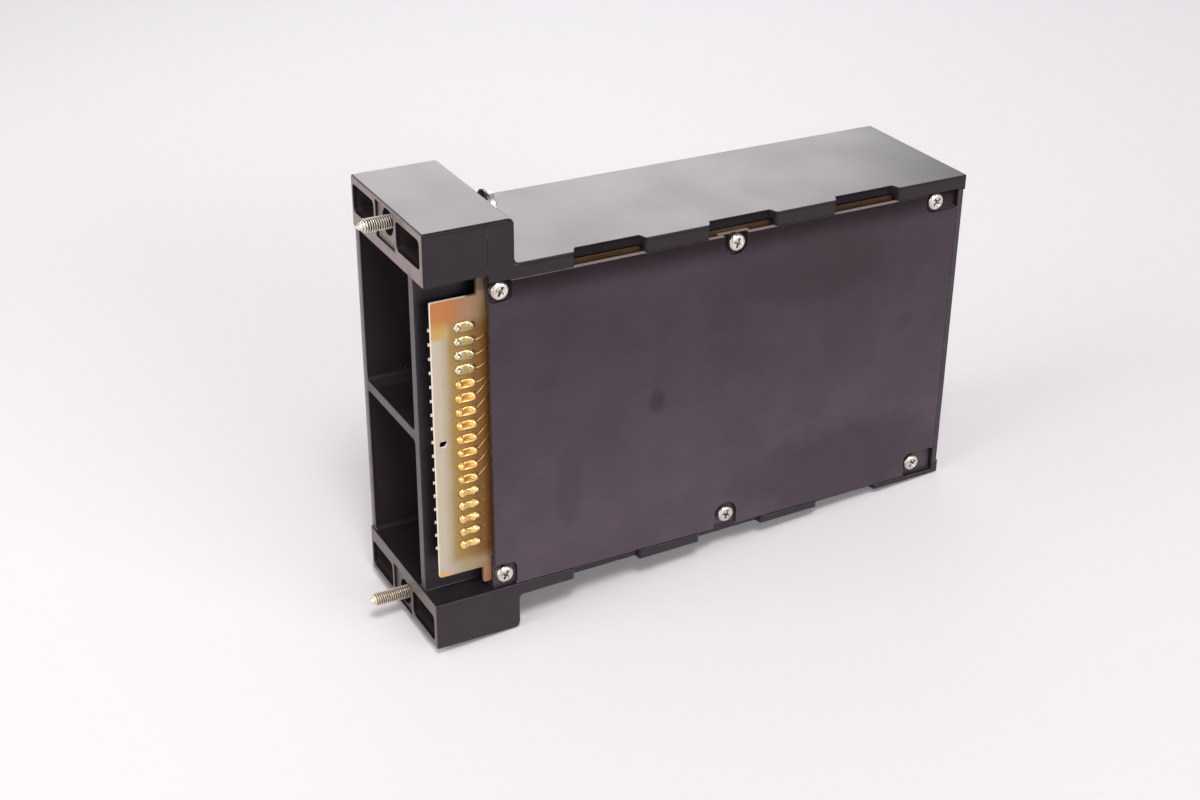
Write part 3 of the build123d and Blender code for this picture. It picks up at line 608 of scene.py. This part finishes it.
TARNISHED = metal(
    "dull_zinc_low", (0.82, 0.72, 0.62), (0.68, 0.59, 0.50), 0.34, 300, grime_and_shade=(0.22, 0.165, 0.12)
)
SCREW_METAL = {"top": IVORY, "bottom": TARNISHED}
WASHER = metal("washer_plate", (0.30, 0.28, 0.26), (0.12, 0.11, 0.10), 0.40, 1200)
BRASS = metal("machined_brass", (0.78, 0.58, 0.26), (0.52, 0.36, 0.14), 0.28, 1200, (1, 6, 1))
TIN = metal("tinned_contact", (0.86, 0.84, 0.78), (0.62, 0.58, 0.48), 0.25, 1500)
ALUMINIUM = metal("satin_aluminium", (0.76, 0.77, 0.79), (0.62, 0.63, 0.65), 0.36, 1200, (1, 1, 12))
SLEEVE = coated("capacitor_sleeve", (0.02, 0.035, 0.12), (0.03, 0.05, 0.15), 0.3)
FILM = coated("film_case", (0.48, 0.22, 0.03), (0.40, 0.17, 0.02), 0.3)
VARISTOR = coated("varistor_dip", (0.02, 0.08, 0.30), (0.03, 0.10, 0.36), 0.3)
BOARD = laminate("board_laminate")
SMALL_BOARD = laminate("small_board_laminate", zones=False)
PADS = gilded("plated_pads")
TRACK = gilded("track_gold", tinned=False)
CONTACT = contact_metal("tinned_leg")
GLASS = glassy("fuse_glass")
LENS = lens_red("lens_tint")
LAMP = coated("lamp_epoxy", (0.5, 0.03, 0.02), (0.4, 0.02, 0.02), 0.15, Transmission_Weight=0.4)


def resistor_paint(name, node, coat, inks):
    """Coat with a ring of each ink near the middle of a node's resistors."""
    low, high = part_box(node)
    middle = (low.x + high.x) / 2
    step = (high.x - low.x) / 11
    first = middle - step * (len(inks) - 1) / 2
    bands = [(first + step * i, ink) for i, ink in enumerate(inks)]
    return banded(name, coat, bands, step * 0.28)


INKS = [(0.25, 0.02, 0.01), (0.01, 0.01, 0.01), (0.30, 0.10, 0.01), (0.45, 0.30, 0.06)]
SMALL_RESISTOR = resistor_paint("small_resistor", "gate_resistors", (0.52, 0.34, 0.17), INKS)
POWER_RESISTOR = resistor_paint("power_resistor", "power_resistors", (0.32, 0.36, 0.30), INKS)

FINISHES = {
    "housing": BLACK,
    "side_cover": COVER,
    "cover_screws": ZINC,
    "threaded_inserts": BRASS,
    "front_panel": PANEL,
    "indicator_lens": LENS,
    "main_board": BOARD,
    "connector_contacts": CONTACT,
    "contact_solder_joints": PADS,
    "connector_housing": CONNECTOR,
    "top_captive_screw": IVORY,
    "bottom_captive_screw": TARNISHED,
    "top_lock_washer": WASHER,
    "bottom_lock_washer": WASHER,
    "top_retaining_ring": WASHER,
    "bottom_retaining_ring": WASHER,
    "heat_sink": ALUMINIUM,
    "heat_sink_rivets": ALUMINIUM,
    "triacs": EPOXY,
    "triac_screws": ZINC,
    "optocouplers": EPOXY,
    "logic_chips": EPOXY,
    "filter_capacitors": SLEEVE,
    "gate_resistors": SMALL_RESISTOR,
    "snubber_capacitors": FILM,
    "power_resistors": POWER_RESISTOR,
    "varistors": VARISTOR,
    "fuse_clips": TIN,
    "fuse_caps": TIN,
    "fuse_tubes": GLASS,
    "indicator_board": SMALL_BOARD,
    "indicator_leds": LAMP,
    "indicator_resistors": EPOXY,
    "link_pins": TIN,
}
for name, finish in FINISHES.items():
    NODES[name].data.materials.clear()
    NODES[name].data.materials.append(finish)


# ---- pieces built here ------------------------------------------------------------
def piece(name, bm, material, body, smooth, stands_for=()):
    """Turns a bmesh into a piece that rides on a body, smooth up to an angle in degrees."""
    bmesh.ops.recalc_face_normals(bm, faces=bm.faces)
    mesh = bpy.data.meshes.new(name)
    bm.to_mesh(mesh)
    bm.free()
    mesh.materials.append(material)
    obj = bpy.data.objects.new(name, mesh)
    bpy.context.scene.collection.objects.link(obj)
    mesh.shade_smooth()
    mesh.set_sharp_from_angle(angle=math.radians(smooth))
    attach(obj, body)
    if stands_for:
        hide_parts(*stands_for)
    return obj


def join_rings(bm, rings):
    """Faces between each closed ring of vertices and the next."""
    for a, b in zip(rings, rings[1:]):
        for j in range(len(a)):
            k = (j + 1) % len(a)
            bm.faces.new((a[j], a[k], b[k], b[j]))


def turned(bm, profile, sides, radius_at, centre):
    """Closed solid of revolution along X whose radius may vary round it."""
    rings = []
    for x, radius in profile:
        ring = []
        for j in range(sides):
            angle = 2 * math.pi * j / sides
            r = radius_at(x, angle, radius)
            y, z = centre.y + r * math.cos(angle), centre.z + r * math.sin(angle)
            ring.append(bm.verts.new((x, y, z)))
        rings.append(ring)
    join_rings(bm, rings)
    bm.faces.new(rings[0][::-1])
    bm.faces.new(rings[-1])


# Captive screws: thread, point, neck, shoulder with the ring's groove, and head
PITCH = 25.4 / 32 * MM
MAJOR = 2.413 * MM
THREAD_DEPTH = 0.50 * MM
THREAD_LENGTH = 15.0 * MM
CREST, FLANKS = 0.12, 0.70
STEPS_PER_TURN = 9
POINTS = {"top": 2.8 * MM, "bottom": 1.6 * MM}
TIP, BLUNT = 0.35 * MM, 0.55 * MM
NECK = 2.0 * MM
SHOULDER = 2.25 * MM
GROOVE = 1.95 * MM
SCREW_RING = 20.8 * MM
HEAD = 4.0 * MM
HEAD_HEIGHT = 2.5 * MM
SLOT_DEPTH, SLOT_WIDTH = 1.2 * MM, 1.2 * MM


def thread_radius(x, angle, start, point):
    """Radius of a threaded end: helical crests on a cone point and a straight shank."""
    turn = ((x - start) / PITCH - angle / (2 * math.pi)) % 1.0
    off_crest = 1 - abs(2 * turn - 1)
    groove = THREAD_DEPTH * (1 - min(1.0, max(0.0, (off_crest - CREST) / FLANKS)))
    taper = min(1.0, (x - start) / point)
    envelope = BLUNT + (MAJOR - BLUNT) * taper
    fade = min(1.0, max(0.0, (x - start - point * 0.25) / (point * 0.6)))
    return envelope - groove * fade


def captive_screw(side):
    """Captive screw: a shank with a cut thread, a plain neck and a ring groove, and its head."""
    low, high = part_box(f"{side}_captive_screw")
    centre = (low + high) / 2
    start, point = low.x, POINTS[side]
    seat = high.x - HEAD_HEIGHT
    bm = bmesh.new()
    step = PITCH / STEPS_PER_TURN
    count = int(THREAD_LENGTH / step)
    threaded = [(start + 0.12 * MM + step * i, 0.0) for i in range(count)]
    end, groove = threaded[-1][0], seat - SCREW_RING
    plain = [
        (end + 0.3 * MM, NECK),
        (groove - 0.05 * MM, NECK),
        (groove - 0.05 * MM, GROOVE),
        (groove + 0.85 * MM, GROOVE),
        (groove + 0.85 * MM, SHOULDER - 0.1 * MM),
        (groove + 0.95 * MM, SHOULDER),
        (seat, SHOULDER),
    ]

    def radius_at(x, angle, radius):
        return radius if radius else thread_radius(x, angle, start, point)

    turned(bm, [(start, TIP)] + threaded + plain, 56, radius_at, centre)
    piece(f"{side}_screw_shank", bm, SCREW_METAL[side], f"{side}_screw", 32)
    slotted_head(side, seat, high.x, centre)


def slotted_head(side, seat, top, centre):
    """Cheese head with rounded rims and a straight slot, a piece of its own."""
    bm = bmesh.new()
    profile = [
        (seat, HEAD - 0.25 * MM),
        (seat + 0.15 * MM, HEAD - 0.05 * MM),
        (seat + 0.35 * MM, HEAD),
        (top - 0.75 * MM, HEAD),
        (top - 0.45 * MM, HEAD - 0.1 * MM),
        (top - 0.15 * MM, HEAD - 0.4 * MM),
        (top, HEAD - 0.8 * MM),
    ]
    turned(bm, profile, 72, lambda x, angle, r: r, centre)
    name, body = f"{side}_screw_head", f"{side}_screw"
    replaced = (f"{side}_captive_screw",)
    head = piece(name, bm, SCREW_METAL[side], body, 35, replaced)
    cut_slot(head, top, centre)


def cut_slot(head, top, centre):
    """Cuts a straight slot across a head's outer face, along Y."""
    cutter = bmesh.new()
    bmesh.ops.create_cube(cutter, size=1)
    size = Matrix.Diagonal((2 * SLOT_DEPTH, 3.5 * HEAD, SLOT_WIDTH, 1))
    cutter.transform(Matrix.Translation((top, centre.y, centre.z)) @ size)
    cutter_mesh = bpy.data.meshes.new("slot_cutter")
    cutter.to_mesh(cutter_mesh)
    cutter.free()
    tool = bpy.data.objects.new("slot_cutter", cutter_mesh)
    bpy.context.scene.collection.objects.link(tool)
    cut = head.modifiers.new("slot", "BOOLEAN")
    cut.operation, cut.solver, cut.object = "DIFFERENCE", "EXACT", tool
    graph = bpy.context.evaluated_depsgraph_get()
    made = bpy.data.meshes.new_from_object(head.evaluated_get(graph))
    head.modifiers.clear()
    head.data = made
    bpy.data.objects.remove(tool)


# Contacts, pads and solder. The pads lie a little below their contacts, and the solder's lobes
# stand above the pads' middle, where the legs' ends are.
ROWS = 17
CONTACT_WIDTH = 1.1 * MM
PAD_DROP = 0.6 * MM
LEG_INSET = 1.35 * MM
LEG_LIFT = 0.3 * MM
SKIN = 0.012 * MM
# The rows, counted from 0 at the top, where each kind of solder and of track begins
FIRST_AMBER, FIRST_GOLD = 4, 12
FIRST_TRACK, FIRST_STEEP = 1, 5

# A point of a pad: along it from -1 to 1, out from its centre line to its rim from 0 to 1, the
# distances in X from its two legs, the height above its middle, and the pad's own two variations
Spot = namedtuple("Spot", "along out legs up vary")


def rows():
    """Height of each of the connector's contacts, from the top down."""
    low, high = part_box("connector_contacts")
    first = low.z + CONTACT_WIDTH / 2
    pitch = (high.z - low.z - CONTACT_WIDTH) / (ROWS - 1)
    return [first + pitch * i for i in range(ROWS)][::-1]


def stadium(left, right, radius, z, count):
    """Points round a slot shape, each with the point of its centre line behind it."""
    blend = 0.35
    made = []
    for j in range(count):
        angle = 2 * math.pi * j / count
        side = math.cos(angle)
        if abs(side) < blend:
            core = (left + right) / 2 + (right - left) / 2 * side / blend
        else:
            core = right if side > 0 else left
        made.append(((core, z), (side * radius, math.sin(angle) * radius)))
    return made


def bell(distance, wide, power=2):
    """Falls from 1 to 0 with distance; the higher the power, the flatter its top."""
    return math.exp(-((distance / wide) ** power))


def hump(dx, dz, wide, power=2):
    """Round lump of height 1."""
    return bell((dx * dx + dz * dz) ** 0.5, wide, power)


def tin_relief(spot):
    """Old tin: a lump with an open rim at the first leg and a long low bar over the second."""
    first, second = spot.legs
    rim = bell((first**2 + spot.up**2) ** 0.5 - 0.95 * MM, 0.26 * MM)
    lump = 0.24 * MM + 0.40 * MM * rim * (1.0 if first < 0.3 * MM else 0.35)
    lump += 0.98 * MM * hump(first, spot.up, 0.78 * MM, 4)
    bar = 0.42 * MM * bell(spot.up, 0.62 * MM, 4) * min(1.0, max(0.0, (spot.along + 0.1) * 3))
    return max(lump, bar, 1.20 * MM * hump(second, spot.up - LEG_LIFT, 1.05 * MM, 4))


def amber_relief(spot):
    """Shiny joint: a rolled rim, a lobe over one leg, a pit beside it and a cone on the other."""
    first, second = spot.legs
    one, two = spot.vary
    base = 0.24 * MM + 0.18 * MM * bell(spot.out - 0.80, 0.13)
    base -= 0.24 * MM * hump(first - (1.8 + 0.3 * two) * MM, spot.up, 0.75 * MM)
    lobe = 1.25 * MM * hump(first + 0.1 * MM, spot.up - LEG_LIFT, (1.15 + 0.1 * one) * MM, 4)
    cone = 1.25 * MM * hump(second, spot.up - LEG_LIFT, (1.10 + 0.1 * two) * MM, 4)
    return (base**4 + lobe**4 + cone**4) ** 0.25


def gold_relief(spot):
    """Two full lumps joined by a thin neck."""
    first, second = spot.legs
    wide = (1.70 + 0.1 * spot.vary[0]) * MM
    near = 1.0 * MM * hump(first + 0.2 * MM, spot.up * 0.9, wide, 4)
    near -= 0.35 * MM * hump(first - 0.75 * MM, spot.up, 0.5 * MM)
    slant = spot.up - 0.18 * second - 0.2 * MM
    far = 1.0 * MM * bell(second - 0.1 * MM, 2.0 * MM, 4) * bell(abs(slant), 1.32 * MM, 3)
    return ((0.30 * MM) ** 4 + near**4 + far**4) ** 0.25


def solder_row(bm, z, left, right, radius, legs, vary, relief, waist):
    """Solder flowed over one pad and up round its two legs; a waist narrows its middle."""
    steps, count = 14, 60
    outline = stadium(left + radius, right - radius, radius, z, count)
    middle, half = (left + right) / 2, (right - left) / 2
    rings = []
    for k in range(steps + 1):
        out = k / steps
        ring = []
        for (core_x, core_z), (off_x, off_z) in outline:
            x, at_z = core_x + off_x * out, core_z + off_z * out
            along = (x - middle) / half
            up = (at_z - z) * (1 - waist * bell(along, 0.38))
            spot = Spot(along, out, [x - leg for leg in legs], up, vary)
            raised = max(relief(spot) * (1 - out**7), 0)
            ring.append(bm.verts.new((x, BOARD_FACE - raised - SKIN, z + up)))
        rings.append(ring)
    foot = [bm.verts.new((v.co.x, BOARD_FACE, v.co.z)) for v in rings[-1]]
    join_rings(bm, rings + [foot])
    bm.faces.new(foot)


def solder_and_pads():
    """Seventeen soldered pads on the near face of the tongue."""
    joints_low, joints_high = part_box("contact_solder_joints")
    legs = (joints_low.x + LEG_INSET, joints_high.x - LEG_INSET)
    rng = random.Random(17)
    bm = bmesh.new()
    for i, z in enumerate(rows()):
        left = joints_low.x + (-0.15 + rng.uniform(-0.1, 0.1)) * MM
        right = joints_high.x + (0.3 + rng.uniform(-0.1, 0.1)) * MM
        radius = ((1.78 if i < FIRST_GOLD else 1.90) + rng.uniform(-0.08, 0.08)) * MM
        vary = rng.uniform(0, 1), rng.uniform(0, 1)
        if i < FIRST_AMBER:
            relief, waist = tin_relief, 0.0
        elif i < FIRST_GOLD:
            relief, waist = amber_relief, 0.0
        else:
            relief, waist = gold_relief, 0.30
        solder_row(bm, z - PAD_DROP, left, right, radius, legs, vary, relief, waist)
    bmesh.ops.remove_doubles(bm, verts=bm.verts, dist=1e-7)
    piece("soldered_pads", bm, PADS, "module", 60, ("contact_solder_joints",))


def strip(bm, points, width, thick):
    """Flat raised line through points of X and Z on the board's near face."""
    left, right = [], []
    for i, (x, z) in enumerate(points):
        a = points[max(i - 1, 0)]
        b = points[min(i + 1, len(points) - 1)]
        along = Vector((b[0] - a[0], b[1] - a[1])).normalized()
        left.append((x - along.y * width / 2, z + along.x * width / 2))
        right.append((x + along.y * width / 2, z - along.x * width / 2))
    outline = left + right[::-1]
    top = [bm.verts.new((x, BOARD_FACE - thick, z)) for x, z in outline]
    low = [bm.verts.new((x, BOARD_FACE, z)) for x, z in outline]
    count = len(points)
    for i in range(count - 1):
        j = 2 * count - 1 - i
        bm.faces.new((top[i], top[i + 1], top[j - 1], top[j]))
        bm.faces.new((low[i + 1], low[i], low[j], low[j - 1]))
    join_rings(bm, [low, top])


def climbing(start, end, z, rise, power):
    """Points of a track that sags a little, then climbs from one X to another."""
    points, steps = [], 12
    for k in range(steps + 1):
        t = k / steps
        bend = rise * t**power - 0.35 * MM * math.sin(math.pi * t)
        points.append((start + (end - start) * t, z + bend))
    return points


def tracks():
    """Gold tracks that leave the upper pads and climb under the cover, and small vias below."""
    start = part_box("contact_solder_joints")[1].x - 0.2 * MM
    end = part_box("side_cover")[0].x + 1.5 * MM
    bm = bmesh.new()
    rng = random.Random(5)
    for i, z in enumerate(rows()):
        z -= PAD_DROP
        if i >= FIRST_GOLD:
            x, z, half = start + 1.9 * MM, z + 0.55 * MM, 0.4 * MM
            strip(bm, [(x - half, z), (x + half, z)], 0.7 * MM, 0.14 * MM)
        elif i >= FIRST_TRACK:
            rise, lift, power = (5.6, 0.5, 1.05) if i >= FIRST_STEEP else (2.9, -0.1, 1.5)
            rise = (rise + rng.uniform(-0.5, 0.6)) * MM
            points = climbing(start, end, z + lift * MM, rise, power)
            strip(bm, points, 0.42 * MM, 0.30 * MM)
    piece("board_tracks", bm, TRACK, "module", 40)


for side in ("top", "bottom"):
    captive_screw(side)
solder_and_pads()
tracks()


# ---- floor, light and camera --------------------------------------------------------
# The module stands on the front end of its lower block, the heel, and on its case's lower front
# edge, the toe, so the floor slopes in the module's frame
HEEL_X, TOE_Z = 31.2 * MM, -60.7 * MM
FLOOR_GAP = 0.15 * MM
housing_low, housing_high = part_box("housing")
heel = Vector((HEEL_X, 0, housing_low.z))
toe = Vector((housing_high.x, 0, TOE_Z))
slope = math.atan2(toe.z - heel.z, toe.x - heel.x)

floor_bm = bmesh.new()
bmesh.ops.create_grid(floor_bm, x_segments=24, y_segments=24, size=3.0)
floor_mesh = bpy.data.meshes.new("floor")
floor_bm.to_mesh(floor_mesh)
floor_bm.free()
floor = bpy.data.objects.new("floor", floor_mesh)
floor.location = heel - Vector((0, 0, FLOOR_GAP))
floor.rotation_euler = Euler((0, -slope, 0))
bpy.context.scene.collection.objects.link(floor)
paper = Paint("pale_paper")
clean = paper.mix(paper.noise(3, 3, 0.5), (0.765, 0.73, 0.748), (0.73, 0.70, 0.714))
# The paper is painted lighter toward the back: a painted gradient of the light across the floor.
toward_back = paper.span(paper.axis(paper.place, "Y"), -0.35, 0.7)
tone = paper.mix(toward_back, clean, (0.985, 0.965, 0.99))
floor_mesh.materials.append(paper.finish(tone, 0.75, paper.bump(paper.noise(400, 2, 0.5), 2e-5)))


AIM = Vector((0.1, 0, 0))


def area_light(name, toward, distance, size, power, color):
    """Soft rectangular light on the side of the object that the direction points to."""
    data = bpy.data.lights.new(name, "AREA")
    data.shape = "RECTANGLE"
    data.size, data.size_y = size
    data.energy = power
    data.color = color
    obj = bpy.data.objects.new(name, data)
    direction = Vector(toward).normalized()
    obj.location = AIM + direction * distance
    obj.rotation_euler = direction.to_track_quat("Z", "Y").to_euler()
    obj.visible_camera = False
    bpy.context.scene.collection.objects.link(obj)
    return obj


rear = area_light("rear_softbox", (0.31, 0.85, 0.50), 1.5, (1.08, 1.0), 14.4, (1.0, 0.985, 1.0))
rear.visible_diffuse = False
area_light("left_softbox", (-0.9, 0.0, 0.35), 1.3, (1.0, 1.0), 8, (1.0, 0.94, 0.9))
area_light("front_fill", (0.25, -0.92, 0.28), 1.8, (1.3, 0.45), 24, (0.97, 0.97, 1.0))
area_light("key_softbox", (-0.25, -0.60, 1.0), 2.2, (0.6, 0.6), 26.5, (1.0, 0.985, 0.99))

world = bpy.data.worlds.new("studio")
world.use_nodes = True
sky = world.node_tree
sky.nodes["Background"].inputs[0].default_value = (0.97, 0.965, 1.0, 1)
upward = sky.nodes.new("ShaderNodeSeparateXYZ")
sky.links.new(sky.nodes.new("ShaderNodeTexCoord").outputs["Generated"], upward.inputs[0])
fall_off = sky.nodes.new("ShaderNodeMapRange")
sky.links.new(upward.outputs["Z"], fall_off.inputs["Value"])
fall_off.inputs["From Max"].default_value = 0.40
fall_off.inputs["To Min"].default_value = 1.1
fall_off.inputs["To Max"].default_value = 0.30
sky.links.new(fall_off.outputs["Result"], sky.nodes["Background"].inputs[1])
bpy.context.scene.world = world
bpy.context.scene.view_settings.view_transform = "Standard"

camera_data = bpy.data.cameras.new("camera")
camera_data.lens = 56.0
camera_data.sensor_width = 36.0
camera = bpy.data.objects.new("camera", camera_data)
bpy.context.scene.collection.objects.link(camera)
CAMERA_PLACE = (-0.20037, -0.52436, 0.29636)
azimuth, elevation, roll = (math.radians(a) for a in (-28.012, 27.457, 0.411))
back = Vector(
    (
        math.sin(azimuth) * math.cos(elevation),
        -math.cos(azimuth) * math.cos(elevation),
        math.sin(elevation),
    )
)
right = Vector((math.cos(azimuth), math.sin(azimuth), 0))
up = back.cross(right)
turned_right = right * math.cos(roll) + up * math.sin(roll)
turned_up = up * math.cos(roll) - right * math.sin(roll)
pose = Matrix((turned_right, turned_up, back)).transposed().to_4x4()
camera.matrix_world = Matrix.Translation(CAMERA_PLACE) @ pose
bpy.context.scene.camera = camera
